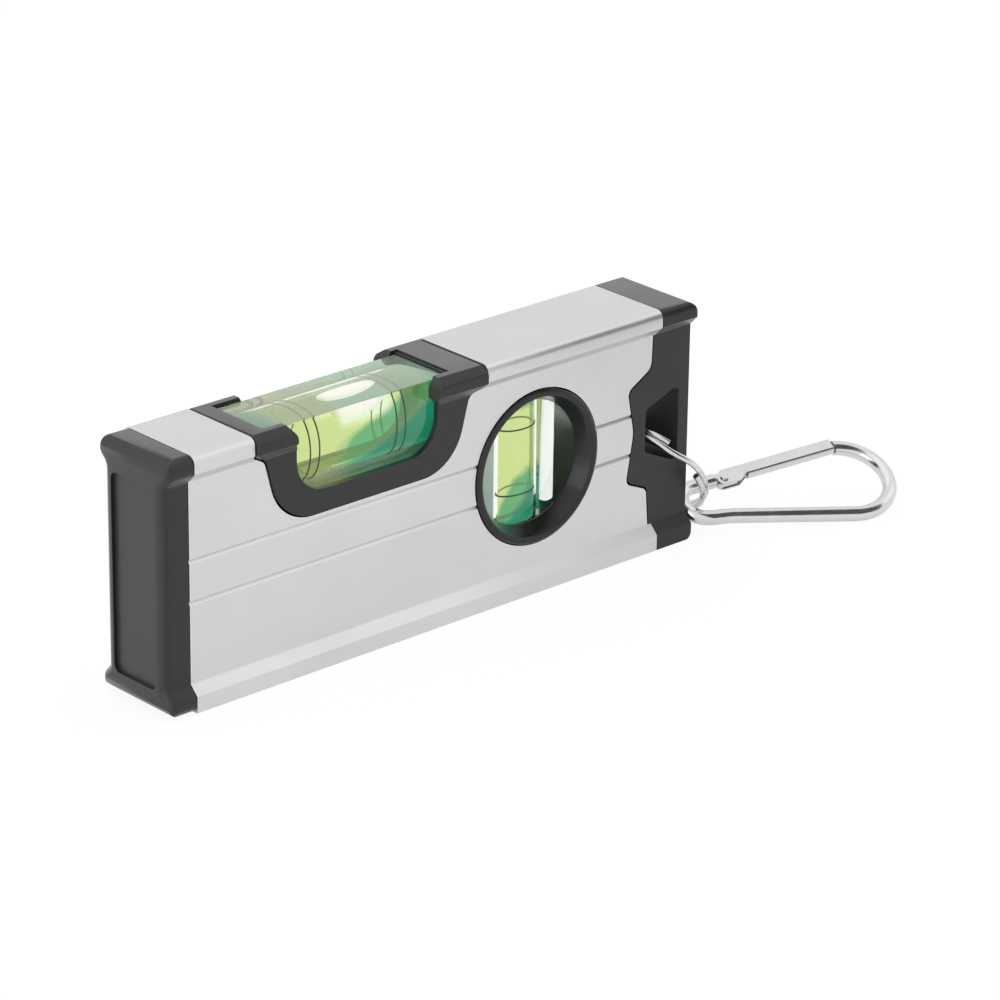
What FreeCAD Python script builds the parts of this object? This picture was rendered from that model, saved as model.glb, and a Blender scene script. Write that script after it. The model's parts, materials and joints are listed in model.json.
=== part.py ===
import FreeCAD, Part
import math
import os

V = FreeCAD.Vector

# Frame: X along the level, -Y toward the front face, Z up.
# The origin is the centre of the base face. All sizes are in millimetres.

# Level body
BODY_LENGTH = 92.0
LEFT_CAP_LENGTH = 5.0
RIGHT_CAP_LENGTH = 7.5
LEVEL_HEIGHT = 40.0
FLANGE_WIDTH = 16.3
WEB_WIDTH = 13.3
LOW_FLANGE_EDGE = 2.7
UP_FLANGE_EDGE = 2.7
FLANGE_BEVEL = 1.5
TOP_ROUND = 1.3
BASE_ROUND = 0.3
WALL = 1.3
FLANGE_FLOOR = 3.0
GROOVE_HEIGHTS = (16.9, 23.4)
GROOVE_WIDTH = 0.9
GROOVE_DEPTH = 0.35

# Clearances
SEAM = 0.15
SHADOW_GAP = 0.25
FIT = 0.1
INK = 0.05

# End caps
CAP_ROUND = 2.6
CAP_CORNER = 1.8
CAP_LOBE = 1.7
CAP_THROAT = 1.4
CAP_EDGE = 1.5
CAP_PLUG = 6.0
PANEL_DEPTH = 0.6
PANEL_MARGIN = 3.3
PANEL_ABOVE_BASE = 3.9
PANEL_BELOW_TOP = 4.7
PANEL_ROUND = 1.2
HOLED_CAP_ROUNDS = (1.4, 2.0)

# Hanging hole, its heights above the base
END_BAR = 2.1
HOLE_WIDTH = 7.1
HOLE_LOW = 14.0
HOLE_SILL = 16.6
HOLE_STEP_RATIO = 0.5925
HOLE_HIGH_RATIO = 0.645
HOLE_FLAT = 1.4
HOLE_ROUND = 0.8

# Tongue of the holed cap
TONGUE_REACH = 5.4
TONGUE_WAIST = 1.4
TONGUE_HIGH_RATIO = 0.685
TONGUE_RISE = 2.8
TONGUE_LOW = 12.5
TONGUE_FALL = 1.9
TONGUE_WAIST_LIFT = 0.55
TONGUE_LEDGES = (0.3, 0.5, 1.0)
TONGUE_ROUNDS = (2.0, 1.5, 6.0, 1.3, 1.2)

# Top vial and its saddle
TOP_VIAL_RATIO = 0.361957
SADDLE_HALF_TOP = 22.0
SADDLE_RIGHT_EXTRA = 0.4
SADDLE_HALF_NECK = 19.9
SADDLE_HALF_BASE = 17.0
SADDLE_LEFT_LESS = 0.8
SADDLE_DEPTH = 15.4
SADDLE_ROUND = 8.0
SADDLE_PROUD = 0.2
NECK_DROP = 0.5
NECK_ROUND = 1.2
LIP_PROUD = 0.4
LIP_BEVEL_WIDTH = 1.5
LIP_BEVEL_DROP = 1.1
LIP_EDGE_ROUND = 0.6
LIP_HEEL = 1.1
LIP_HEEL_ROUND = 1.4
LIP_CORNER_ROUND = 0.5
WINDOW_HALF = 13.8
WINDOW_DEPTH = 11.8
WINDOW_ROUND = 5.5
LIP_END_LEFT = 14.4
LIP_END_RIGHT = 12.75
LIP_END_SLOPES = (1.8, 1.6)
LIP_END_ROUNDS = (1.5, 1.2)
LIP_END_FOOT = 1.0
VIAL_BLOCK_LEFT = 18.4
VIAL_BLOCK_RIGHT = 16.2
VIAL_BLOCK_WIDTH = 11.6
VIAL_BLOCK_DROP = 0.6
VIAL_BORE = 5.15
VIAL_BORE_HALF = 15.4
VIAL_WALL = 0.6
VIAL_PLUG = 0.8
BLOCK_LEDGE = 0.6
BLOCK_LEDGE_DROP = 0.3
BUBBLE_LENGTH = 11.2
BUBBLE_WIDTH = 9.0
BUBBLE_HEIGHT = 3.4
BUBBLE_SHIFT = 1.7
RING_LINES = (-9.6, -7.85, 7.0, 8.7)
RING_LINE_WIDTH = 0.24
RING_LINE_DEPTH = 0.1

# Plumb vial in its round bezel
PLUMB_RATIO = 0.733696
PLUMB_ABOVE_MIDDLE = 0.3
BEZEL_RADIUS = 12.4
BEZEL_PROUD = 0.35
BEZEL_RIM = 1.1
BEZEL_ROUND = 0.3
BEZEL_BARREL = 11.6
BEZEL_OPENING = 10.0
BEZEL_TAPER = 2.6
PLUMB_BLOCK_WIDTH = 13.0
PLUMB_BLOCK_DEPTH = 8.0
PLUMB_BLOCK_HEIGHT = 22.6
PLUMB_BORE = 3.5
PLUMB_WALL = 1.2
PLUMB_BUBBLE = 1.4
PLUMB_LINES = (-5.3, 5.3)

# Base magnets
MAGNET_RADIUS = 4.0
MAGNET_HEIGHT = 2.4
MAGNET_RECESS = 0.1
MAGNET_PLACES = (0.12, 0.86)

# Split ring
RING_WIRE = 0.5
RING_RADIUS = 10.95
RING_HALF_PITCH = 0.53
RING_BEYOND_END = -1.3
RING_Y = 1.85
RING_Z = 9.96
RING_TURN = 13.6
RING_RISE = 36.0
RING_JOGGLE = 34.0
RING_END_GAP = 2.0
RING_START = -118.0
RING_JOGGLE_STEPS = 8

# Snap hook
HOOK_WIRE = 1.2
HOOK_WIDE = 7.3
HOOK_EYE = 3.25
HOOK_SPAN = 25.1
HOOK_YAW = -20.4
HOOK_TILT = 24.4
EYE_OFF_STRAND = (0.247, 0.012, -0.045)
STRAND_ABOVE_HOOK = 0.085
EYE_BULGE = 0.36
EYE_BULGE_AT = 0.6
EYE_REJOIN = 4.6
NOSE_ANGLE = 84.0
NOSE_TRIM = 6.0
NOSE_GAP = 0.15
NOSE_LENGTH = 2.2
NOSE_ROOT = 1.2
NOSE_HEIGHT = 1.4
WIRE_FLAT = 0.9
FLAT_SIDES = (1.55, 0.9)
FLAT_ROUND = 0.6
HINGE_FROM_EYE = 5.75
HINGE_NECK = 4.0
HINGE_TAIL = 2.4
GATE_SHEET = 0.3
GATE_HEIGHT = 2.2
GATE_FOLD = 0.5
GATE_SIDE_GAP = 0.06
GATE_EAR = 1.25
GATE_EAR_ROUND = 1.0
GATE_EAR_SLOPE = 1.8
GATE_WEB_START = 4.3
GATE_LAP = 0.5
RIVET_INWARD = 0.5
RIVET_RADIUS = 0.42
RIVET_CLEARANCE = 0.05
RIVET_HEAD = 0.7
RIVET_HEAD_HEIGHT = 0.3
RIVET_HEAD_ROUND = 0.15
SPRING_SHEET = 0.2
SPRING_LENGTH = 7.0
SPRING_RISE = 0.5
SPRING_BEND = 0.8

# Derived places
TOTAL_LENGTH = LEFT_CAP_LENGTH + BODY_LENGTH + RIGHT_CAP_LENGTH
LEFT_END = -TOTAL_LENGTH / 2
LEFT_SEAM = LEFT_END + LEFT_CAP_LENGTH
RIGHT_SEAM = LEFT_SEAM + BODY_LENGTH
RIGHT_END = TOTAL_LENGTH / 2
WEB_HALF = WEB_WIDTH / 2
FLANGE_HALF = FLANGE_WIDTH / 2
TOP_VIAL_X = LEFT_SEAM + BODY_LENGTH * TOP_VIAL_RATIO
PLUMB_X = LEFT_SEAM + BODY_LENGTH * PLUMB_RATIO
SADDLE_BOTTOM = LEVEL_HEIGHT - SADDLE_DEPTH
WINDOW_BOTTOM = LEVEL_HEIGHT - WINDOW_DEPTH
PLUMB_HEIGHT = LEVEL_HEIGHT / 2 + PLUMB_ABOVE_MIDDLE
HOLE_STEP = LEVEL_HEIGHT * HOLE_STEP_RATIO
HOLE_HIGH = LEVEL_HEIGHT * HOLE_HIGH_RATIO
TONGUE_HIGH = LEVEL_HEIGHT * TONGUE_HIGH_RATIO
LOW_THROAT = LOW_FLANGE_EDGE + FLANGE_BEVEL
UP_THROAT = LEVEL_HEIGHT - UP_FLANGE_EDGE - FLANGE_BEVEL
VIAL_TOP = LEVEL_HEIGHT - VIAL_BLOCK_DROP
VIAL_AXIS = VIAL_TOP - VIAL_WALL - VIAL_BORE
VIAL_BOTTOM = VIAL_AXIS - VIAL_BORE - VIAL_WALL
REACH = 2 * FLANGE_WIDTH


def rounded_wire(corners, place):
    """Closed wire through corners (a, b, radius), each rounded by its radius."""
    count = len(corners)
    starts = []
    ends = []
    edges = []
    for i in range(count):
        a, b, radius = corners[i]
        corner = V(a, b, 0)
        before = V(*corners[i - 1][:2], 0) - corner
        after = V(*corners[(i + 1) % count][:2], 0) - corner
        before.normalize()
        after.normalize()
        if radius == 0:
            starts.append(corner)
            ends.append(corner)
            edges.append(None)
            continue
        half = before.getAngle(after) / 2
        reach = radius / math.tan(half)
        middle = before + after
        middle.normalize()
        centre = corner + middle * (radius / math.sin(half))
        start = corner + before * reach
        end = corner + after * reach
        top = centre - middle * radius
        starts.append(start)
        ends.append(end)
        edges.append(Part.Arc(place(start.x, start.y), place(top.x, top.y), place(end.x, end.y)).toShape())
    loop = []
    for i in range(count):
        if edges[i]:
            loop.append(edges[i])
        tail = ends[i]
        head = starts[(i + 1) % count]
        if tail.distanceToPoint(head) > 1e-6:
            loop.append(Part.makeLine(place(tail.x, tail.y), place(head.x, head.y)))
    return Part.Wire(loop)


def prism_along_y(corners, y_low, y_high):
    """Solid of an outline (x, z, radius) between two values of y."""
    wire = rounded_wire(corners, lambda a, b: V(a, y_low, b))
    return Part.Face(wire).extrude(V(0, y_high - y_low, 0))


def prism_along_x(corners, x_low, x_high):
    """Solid of an outline (y, z, radius) between two values of x."""
    wire = rounded_wire(corners, lambda a, b: V(x_low, a, b))
    return Part.Face(wire).extrude(V(x_high - x_low, 0, 0))


def box(x_low, x_high, y_low, y_high, z_low, z_high):
    return Part.makeBox(x_high - x_low, y_high - y_low, z_high - z_low, V(x_low, y_low, z_low))


def rod_x(radius, x_low, x_high, y, z):
    return Part.makeCylinder(radius, x_high - x_low, V(x_low, y, z), V(1, 0, 0))


def mirrored(half):
    """Full outline from the corners of its right half, listed from the bottom up."""
    return half + [(-a, b, r) for a, b, r in reversed(half)]


def level_outline(rounds=(BASE_ROUND, 0.2, 0.4, TOP_ROUND)):
    """Cross-section of the level, wide at both flanges and narrow at the web."""
    base, lobe, throat, top = rounds
    return mirrored([
        (FLANGE_HALF, 0, base),
        (FLANGE_HALF, LOW_FLANGE_EDGE, lobe),
        (WEB_HALF, LOW_THROAT, throat),
        (WEB_HALF, UP_THROAT, throat),
        (FLANGE_HALF, LEVEL_HEIGHT - UP_FLANGE_EDGE, lobe),
        (FLANGE_HALF, LEVEL_HEIGHT, top),
    ])


def saddle_section():
    """Cross-section of the vial saddle, a little proud of the level's own."""
    lip = FLANGE_HALF + LIP_PROUD
    plate = WEB_HALF + SADDLE_PROUD
    return mirrored([
        (plate, SADDLE_BOTTOM - 1, 0),
        (plate, UP_THROAT - SADDLE_PROUD, LIP_EDGE_ROUND),
        (lip, LEVEL_HEIGHT - UP_FLANGE_EDGE, LIP_EDGE_ROUND / 2),
        (lip, LEVEL_HEIGHT - LIP_BEVEL_DROP, LIP_EDGE_ROUND),
        (lip - LIP_BEVEL_WIDTH, LEVEL_HEIGHT, LIP_EDGE_ROUND),
    ])


def cavity():
    """The hollow that runs through the extrusion."""
    half = WEB_HALF - WALL
    return [
        (half, FLANGE_FLOOR, 0.8),
        (half, LEVEL_HEIGHT - FLANGE_FLOOR, 0.8),
        (-half, LEVEL_HEIGHT - FLANGE_FLOOR, 0.8),
        (-half, FLANGE_FLOOR, 0.8),
    ]


def saddle_outline(grow, top, corner):
    """Side outline of the saddle, with its lips on top and a rounded bottom."""
    x = TOP_VIAL_X
    left = SADDLE_HALF_TOP + grow
    right = SADDLE_HALF_TOP + SADDLE_RIGHT_EXTRA + grow
    heel = UP_THROAT + LIP_HEEL - grow
    neck = UP_THROAT - NECK_DROP - grow
    return [
        (x - left, top, corner),
        (x - left, heel, LIP_HEEL_ROUND),
        (x - SADDLE_HALF_NECK + SADDLE_LEFT_LESS - grow, neck, NECK_ROUND),
        (x - SADDLE_HALF_BASE + SADDLE_LEFT_LESS - grow, SADDLE_BOTTOM - grow, SADDLE_ROUND),
        (x + SADDLE_HALF_BASE + grow, SADDLE_BOTTOM - grow, SADDLE_ROUND),
        (x + SADDLE_HALF_NECK + grow, neck, NECK_ROUND),
        (x + right, heel, LIP_HEEL_ROUND),
        (x + right, top, corner),
    ]


def window_outline(side):
    """Outline of the window on one side; the rear one is turned end for end."""
    top = LEVEL_HEIGHT + 1
    left_slope, right_slope = LIP_END_SLOPES
    left_round, right_round = LIP_END_ROUNDS
    corners = [
        (-LIP_END_LEFT - left_slope, top, 0),
        (-LIP_END_LEFT, LEVEL_HEIGHT - left_slope, left_round),
        (-LIP_END_LEFT, UP_THROAT + LIP_END_FOOT, 0.3),
        (-WINDOW_HALF + SADDLE_LEFT_LESS / 2, UP_THROAT, 0.5),
        (-WINDOW_HALF + SADDLE_LEFT_LESS / 2, WINDOW_BOTTOM, WINDOW_ROUND),
        (WINDOW_HALF, WINDOW_BOTTOM, WINDOW_ROUND),
        (WINDOW_HALF, UP_THROAT, 0.3),
        (LIP_END_RIGHT, UP_THROAT + LIP_END_FOOT, 0.5),
        (LIP_END_RIGHT, LEVEL_HEIGHT - right_slope, right_round),
        (LIP_END_RIGHT + right_slope, top, 0),
    ]
    return [(TOP_VIAL_X - side * a, b, r) for a, b, r in corners]


def tongue_outline(grow):
    """Side outline of the right cap where it reaches into the web."""
    tip = RIGHT_SEAM - TONGUE_REACH - grow
    high = TONGUE_HIGH + grow
    low = TONGUE_LOW - grow
    waist = (TONGUE_HIGH + TONGUE_LOW) / 2 + TONGUE_WAIST_LIFT
    inside = RIGHT_SEAM + RIGHT_CAP_LENGTH / 4
    return [
        (inside, UP_THROAT, 0),
        (RIGHT_SEAM - TONGUE_LEDGES[0] - grow, UP_THROAT, 0),
        (RIGHT_SEAM - TONGUE_LEDGES[1] - grow, high + TONGUE_RISE, TONGUE_ROUNDS[0]),
        (tip, high, TONGUE_ROUNDS[1]),
        (tip + TONGUE_WAIST, waist, TONGUE_ROUNDS[2]),
        (tip, low, TONGUE_ROUNDS[3]),
        (RIGHT_SEAM - TONGUE_LEDGES[2] - grow, low - TONGUE_FALL, TONGUE_ROUNDS[4]),
        (RIGHT_SEAM - TONGUE_LEDGES[1] - grow, LOW_THROAT, 0),
        (inside, LOW_THROAT, 0),
    ]


def hanging_hole_outline():
    """Outline of the hole in the right cap: a slanted sill and a slanted head."""
    outer = RIGHT_END - END_BAR
    inner = outer - HOLE_WIDTH
    return [
        (inner, HOLE_STEP, HOLE_ROUND),
        (inner, HOLE_SILL, HOLE_ROUND),
        (outer - HOLE_FLAT, HOLE_LOW, HOLE_ROUND),
        (outer, HOLE_LOW, HOLE_ROUND),
        (outer, HOLE_HIGH, HOLE_ROUND),
        (outer - HOLE_FLAT, HOLE_HIGH, HOLE_ROUND),
    ]


def body_extrusion():
    """Hollow aluminium section with two grooves on each side."""
    body = prism_along_x(level_outline(), LEFT_SEAM, RIGHT_SEAM)
    body = body.cut(prism_along_x(cavity(), LEFT_SEAM - 1, RIGHT_SEAM + 1))
    for height in GROOVE_HEIGHTS:
        for side in (-1, 1):
            groove = Part.makePolygon([
                V(LEFT_SEAM - 1, side * (WEB_HALF + 0.1), height - GROOVE_WIDTH / 2),
                V(LEFT_SEAM - 1, side * (WEB_HALF - GROOVE_DEPTH), height),
                V(LEFT_SEAM - 1, side * (WEB_HALF + 0.1), height + GROOVE_WIDTH / 2),
                V(LEFT_SEAM - 1, side * (WEB_HALF + 0.1), height - GROOVE_WIDTH / 2),
            ])
            body = body.cut(Part.Face(groove).extrude(V(BODY_LENGTH + 2, 0, 0)))
    body = body.cut(prism_along_y(saddle_outline(SHADOW_GAP, LEVEL_HEIGHT + 1, 0), -REACH, REACH))
    body = body.cut(prism_along_y(tongue_outline(SHADOW_GAP), -REACH, REACH))
    body = body.cut(Part.makeCylinder(
        BEZEL_RADIUS + SHADOW_GAP, 2 * REACH, V(PLUMB_X, -REACH, PLUMB_HEIGHT), V(0, 1, 0)))
    for magnet in magnet_places():
        body = body.cut(Part.makeCylinder(
            MAGNET_RADIUS + INK, MAGNET_RECESS + MAGNET_HEIGHT, V(magnet, 0, 0)))
    return body


def magnet_places():
    return [LEFT_SEAM + part * BODY_LENGTH for part in MAGNET_PLACES]


def base_magnets():
    """Two disc magnets pressed into the base, just short of its face."""
    discs = []
    for magnet in magnet_places():
        discs.append(Part.makeCylinder(MAGNET_RADIUS, MAGNET_HEIGHT, V(magnet, 0, MAGNET_RECESS)))
    return Part.makeCompound(discs)


def left_end_cap():
    """Soft-edged moulded cap with a recessed panel and a plug inside the extrusion."""
    outline = level_outline((CAP_CORNER, CAP_LOBE, CAP_THROAT, CAP_CORNER))
    cap = prism_along_x(outline, LEFT_END, LEFT_SEAM - SEAM)
    cap = cap.makeFillet(CAP_EDGE, [e for e in cap.Edges if e.BoundBox.XMax < LEFT_END + SEAM])
    side = [
        (LEFT_END, 0, CAP_ROUND),
        (LEFT_SEAM, 0, 0),
        (LEFT_SEAM, LEVEL_HEIGHT, 0),
        (LEFT_END, LEVEL_HEIGHT, CAP_ROUND),
    ]
    cap = cap.common(prism_along_y(side, -REACH, REACH))
    half = FLANGE_HALF - PANEL_MARGIN
    panel = mirrored([
        (half, PANEL_ABOVE_BASE, PANEL_ROUND),
        (half, LEVEL_HEIGHT - PANEL_BELOW_TOP, PANEL_ROUND),
    ])
    cap = cap.cut(prism_along_x(panel, LEFT_END - 1, LEFT_END + PANEL_DEPTH))
    plug = [(a - math.copysign(FIT, a), b + (FIT if b < LEVEL_HEIGHT / 2 else -FIT), r)
            for a, b, r in cavity()]
    return cap.fuse(prism_along_x(plug, LEFT_SEAM - 1, LEFT_SEAM + CAP_PLUG)).removeSplitter()


def right_end_cap():
    """Moulded cap with a hanging hole and a tongue let into the web."""
    cap = prism_along_x(level_outline(), RIGHT_SEAM + SEAM, RIGHT_END)
    side = [
        (RIGHT_SEAM, 0, 0),
        (RIGHT_END, 0, HOLED_CAP_ROUNDS[0]),
        (RIGHT_END, LEVEL_HEIGHT, HOLED_CAP_ROUNDS[1]),
        (RIGHT_SEAM, LEVEL_HEIGHT, 0),
    ]
    cap = cap.common(prism_along_y(side, -REACH, REACH))
    tongue = prism_along_y(tongue_outline(0), -WEB_HALF, WEB_HALF)
    cap = cap.fuse(tongue)
    cap = cap.cut(prism_along_y(hanging_hole_outline(), -REACH, REACH))
    return cap.removeSplitter()


def block_ends():
    return TOP_VIAL_X - VIAL_BLOCK_LEFT, TOP_VIAL_X + VIAL_BLOCK_RIGHT


def bore_ends():
    right = TOP_VIAL_X + VIAL_BLOCK_RIGHT - VIAL_PLUG
    return right - 2 * VIAL_BORE_HALF, right


def top_vial_housing():
    """Moulded saddle that carries the top vial, with a window on each side."""
    left = TOP_VIAL_X - SADDLE_HALF_TOP - 1
    right = TOP_VIAL_X + SADDLE_HALF_TOP + SADDLE_RIGHT_EXTRA + 1
    saddle = prism_along_x(saddle_section(), left, right)
    saddle = saddle.common(prism_along_y(saddle_outline(0, LEVEL_HEIGHT, LIP_CORNER_ROUND), -REACH, REACH))
    for side in (-1, 1):
        low, high = sorted((0, side * REACH))
        saddle = saddle.cut(prism_along_y(window_outline(side), low, high))
    x_low, x_high = block_ends()
    half = VIAL_BLOCK_WIDTH / 2 + FIT
    keeper = box(x_low - FIT, x_high + FIT, -half, half, VIAL_BOTTOM - FIT, LEVEL_HEIGHT + 1)
    ledge = box(x_low - BLOCK_LEDGE, x_high + BLOCK_LEDGE, -half, half,
                LEVEL_HEIGHT - BLOCK_LEDGE_DROP, LEVEL_HEIGHT + 1)
    bed = prism_along_y(saddle_outline(0, LEVEL_HEIGHT, LIP_CORNER_ROUND), -WEB_HALF + WALL, WEB_HALF - WALL)
    return saddle.fuse(bed).cut([keeper, ledge]).removeSplitter()


def top_vial_block():
    """Clear block with a bore for the liquid, open at its right end."""
    x_low, x_high = block_ends()
    half = VIAL_BLOCK_WIDTH / 2
    block = box(x_low, x_high, -half, half, VIAL_BOTTOM, VIAL_TOP)
    block = block.makeFillet(0.3, [e for e in block.Edges if abs(e.tangentAt(0).x) > 0.9])
    return block.cut(rod_x(VIAL_BORE, bore_ends()[0], x_high + 1, 0, VIAL_AXIS))


def top_vial_liquid():
    """Filling of the bore, less a bubble under its top."""
    x_low, x_high = bore_ends()
    radius = VIAL_BORE - RING_LINE_DEPTH - INK
    liquid = rod_x(radius, x_low + INK, x_high - INK, 0, VIAL_AXIS)
    length = BUBBLE_LENGTH / 2
    centre = V(TOP_VIAL_X + BUBBLE_SHIFT, 0, VIAL_AXIS + radius)
    bubble = Part.makeSphere(1.0)
    stretch = FreeCAD.Matrix()
    stretch.scale(V(length, BUBBLE_WIDTH / 2, BUBBLE_HEIGHT))
    bubble = bubble.transformGeometry(stretch)
    bubble.translate(centre)
    return liquid.cut(bubble)


def top_vial_plug():
    x_high = block_ends()[1]
    return rod_x(VIAL_BORE - FIT / 2, x_high - VIAL_PLUG, x_high, 0, VIAL_AXIS)


def top_vial_rings():
    """Four reading lines round the liquid."""
    outer = VIAL_BORE - INK / 2
    inner = outer - RING_LINE_DEPTH
    rings = []
    for shift in RING_LINES:
        x = TOP_VIAL_X + shift - RING_LINE_WIDTH / 2
        ring = rod_x(outer, x, x + RING_LINE_WIDTH, 0, VIAL_AXIS)
        rings.append(ring.cut(rod_x(inner, x - 1, x + 1, 0, VIAL_AXIS)))
    return Part.makeCompound(rings)


def plumb_bezel(side):
    """Round bezel, flanged outside, tapered inside, notched for the vial block."""
    face = WEB_HALF + BEZEL_PROUD
    rim = BEZEL_RADIUS - BEZEL_RIM
    section = [
        (BEZEL_OPENING, SEAM / 2, 0),
        (BEZEL_BARREL, SEAM / 2, 0),
        (BEZEL_BARREL, WEB_HALF - WALL, 0),
        (BEZEL_RADIUS, WEB_HALF - WALL, 0),
        (BEZEL_RADIUS, face, BEZEL_ROUND),
        (rim, face, BEZEL_ROUND),
        (BEZEL_OPENING, face - BEZEL_TAPER, BEZEL_ROUND),
    ]
    wire = rounded_wire(section, lambda r, y: V(PLUMB_X + r, side * y, PLUMB_HEIGHT))
    bezel = Part.Face(wire).revolve(V(PLUMB_X, 0, PLUMB_HEIGHT), V(0, 1, 0), 360)
    wide = PLUMB_BLOCK_WIDTH / 2 + FIT
    deep = PLUMB_BLOCK_DEPTH / 2 + FIT
    tall = PLUMB_BLOCK_HEIGHT / 2 + FIT
    notch = box(PLUMB_X - wide, PLUMB_X + wide, -deep, deep, PLUMB_HEIGHT - tall, PLUMB_HEIGHT + tall)
    return bezel.cut(notch)


def plumb_ends():
    low = PLUMB_HEIGHT - PLUMB_BLOCK_HEIGHT / 2
    return low + PLUMB_WALL, low + PLUMB_BLOCK_HEIGHT - PLUMB_WALL


def plumb_vial_block():
    """Clear upright block with a bore for the liquid, open at the top."""
    wide = PLUMB_BLOCK_WIDTH / 2
    deep = PLUMB_BLOCK_DEPTH / 2
    low, high = plumb_ends()
    block = box(PLUMB_X - wide, PLUMB_X + wide, -deep, deep, low - PLUMB_WALL, high + PLUMB_WALL)
    block = block.makeFillet(0.3, [e for e in block.Edges if abs(e.tangentAt(0).z) > 0.9])
    return block.cut(Part.makeCylinder(PLUMB_BORE, PLUMB_BLOCK_HEIGHT, V(PLUMB_X, 0, low)))


def plumb_vial_liquid():
    """Filling of the upright bore, with a dished top where its bubble rests."""
    low, high = plumb_ends()
    radius = PLUMB_BORE - RING_LINE_DEPTH - INK
    liquid = Part.makeCylinder(radius, high - low - 2 * INK, V(PLUMB_X, 0, low + INK))
    curve = 2 * radius
    dish = Part.makeSphere(curve, V(PLUMB_X, 0, high - PLUMB_BUBBLE + curve))
    return liquid.cut(dish)


def plumb_vial_plug():
    high = plumb_ends()[1]
    return Part.makeCylinder(PLUMB_BORE - FIT / 2, PLUMB_WALL, V(PLUMB_X, 0, high))


def plumb_vial_rings():
    """Two reading lines round the upright liquid."""
    outer = PLUMB_BORE - INK / 2
    inner = outer - RING_LINE_DEPTH
    rings = []
    for shift in PLUMB_LINES:
        low = V(PLUMB_X, 0, PLUMB_HEIGHT + shift - RING_LINE_WIDTH / 2)
        ring = Part.makeCylinder(outer, RING_LINE_WIDTH, low)
        rings.append(ring.cut(Part.makeCylinder(inner, RING_LINE_WIDTH, low)))
    return Part.makeCompound(rings)


def ring_frame():
    """Centre, normal, steepest way down and level side way of the split ring."""
    turn = math.radians(RING_TURN)
    rise = math.radians(RING_RISE)
    normal = V(math.cos(rise) * math.cos(turn), math.cos(rise) * math.sin(turn), math.sin(rise))
    down = V(0, 0, -1) + normal * normal.z
    down.normalize()
    return V(RIGHT_END + RING_BEYOND_END, RING_Y, RING_Z), normal, down, normal.cross(down)


def on_ring(angle, off):
    """Point of the ring's centre line, the angle measured from its lowest point."""
    centre, normal, down, side = ring_frame()
    turned = math.radians(angle)
    return centre + (down * math.cos(turned) + side * math.sin(turned)) * RING_RADIUS + normal * off


def ring_arc(start, end, off):
    middle = (start + end) / 2
    return Part.Arc(on_ring(start, off), on_ring(middle, off), on_ring(end, off)).toShape()


def split_ring():
    """Two turns of wire side by side, joined by a joggle between its two ends."""
    first = RING_START - RING_JOGGLE / 2
    second = RING_START + RING_JOGGLE / 2
    upper_end = first + 360 - RING_END_GAP
    lower_end = second - 360 + RING_END_GAP
    points = []
    for i in range(RING_JOGGLE_STEPS + 1):
        part = i / RING_JOGGLE_STEPS
        smooth = part * part * (3 - 2 * part)
        points.append(on_ring(first + part * RING_JOGGLE, RING_HALF_PITCH * (2 * smooth - 1)))
    centre, normal, down, side = ring_frame()
    tangents = [normal.cross(p - centre) for p in (points[0], points[-1])]
    for tangent in tangents:
        tangent.normalize()
    joggle = Part.BSplineCurve()
    joggle.interpolate(Points=points, InitialTangent=tangents[0], FinalTangent=tangents[1])
    path = Part.Wire([
        ring_arc(lower_end, (lower_end + first) / 2, -RING_HALF_PITCH),
        ring_arc((lower_end + first) / 2, first, -RING_HALF_PITCH),
        joggle.toShape(),
        ring_arc(second, (second + upper_end) / 2, RING_HALF_PITCH),
        ring_arc((second + upper_end) / 2, upper_end, RING_HALF_PITCH),
    ])
    start = on_ring(lower_end, -RING_HALF_PITCH)
    along = normal.cross(start - centre)
    profile = Part.Wire(Part.makeCircle(RING_WIRE, start, along))
    return path.makePipeShell([profile], True, False)


def hook_place():
    """Placement of the hook's own frame: u toward its wide end, v to the gate side."""
    yaw = math.radians(HOOK_YAW)
    tilt = math.radians(HOOK_TILT)
    u = V(math.cos(yaw), math.sin(yaw), 0)
    level = V(-math.sin(yaw), math.cos(yaw), 0)
    v = level * math.cos(tilt) + V(0, 0, 1) * math.sin(tilt)
    n = u.cross(v)
    height = HOOK_WIDE * math.sin(tilt) + HOOK_WIRE
    centre, normal, down, side = ring_frame()
    drop = (centre.z - height - STRAND_ABOVE_HOOK) / RING_RADIUS / math.sqrt(1 - normal.z ** 2)
    strand = on_ring(-math.degrees(math.acos(drop)), 0)
    eye = strand + u * EYE_OFF_STRAND[0] + v * EYE_OFF_STRAND[1] + n * EYE_OFF_STRAND[2]
    wide = eye + u * HOOK_SPAN
    wide.z = height
    return FreeCAD.Placement(wide, FreeCAD.Rotation(u, v, n, "XYZ"))


def placed(shape):
    shape.Placement = hook_place().multiply(shape.Placement)
    return shape


def gate_line():
    """Start beside the eye, direction and outward way of the gate's line."""
    taper = math.asin((HOOK_WIDE - HOOK_EYE) / HOOK_SPAN)
    along = V(math.cos(taper), math.sin(taper), 0)
    outward = V(-math.sin(taper), math.cos(taper), 0)
    return V(-HOOK_SPAN, 0, 0) + outward * HOOK_EYE, along, outward


def beside_gate(shape, distance):
    """Set a shape drawn along X at a distance along the gate's line."""
    start, along, outward = gate_line()
    turn = FreeCAD.Rotation(along, outward, V(0, 0, 1), "XYZ")
    shape.Placement = FreeCAD.Placement(start + along * distance, turn).multiply(shape.Placement)
    return shape


def wide_bend(angle):
    """Point of the wire's centre line on its wide bend."""
    turned = math.radians(angle)
    return V(HOOK_WIDE * math.cos(turned), HOOK_WIDE * math.sin(turned), 0)


def gate_tip():
    """Distance of the gate's tip along its line, just short of the wire's nose."""
    start, along, outward = gate_line()
    return along.dot(wide_bend(NOSE_ANGLE) - start) - NOSE_GAP


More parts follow.
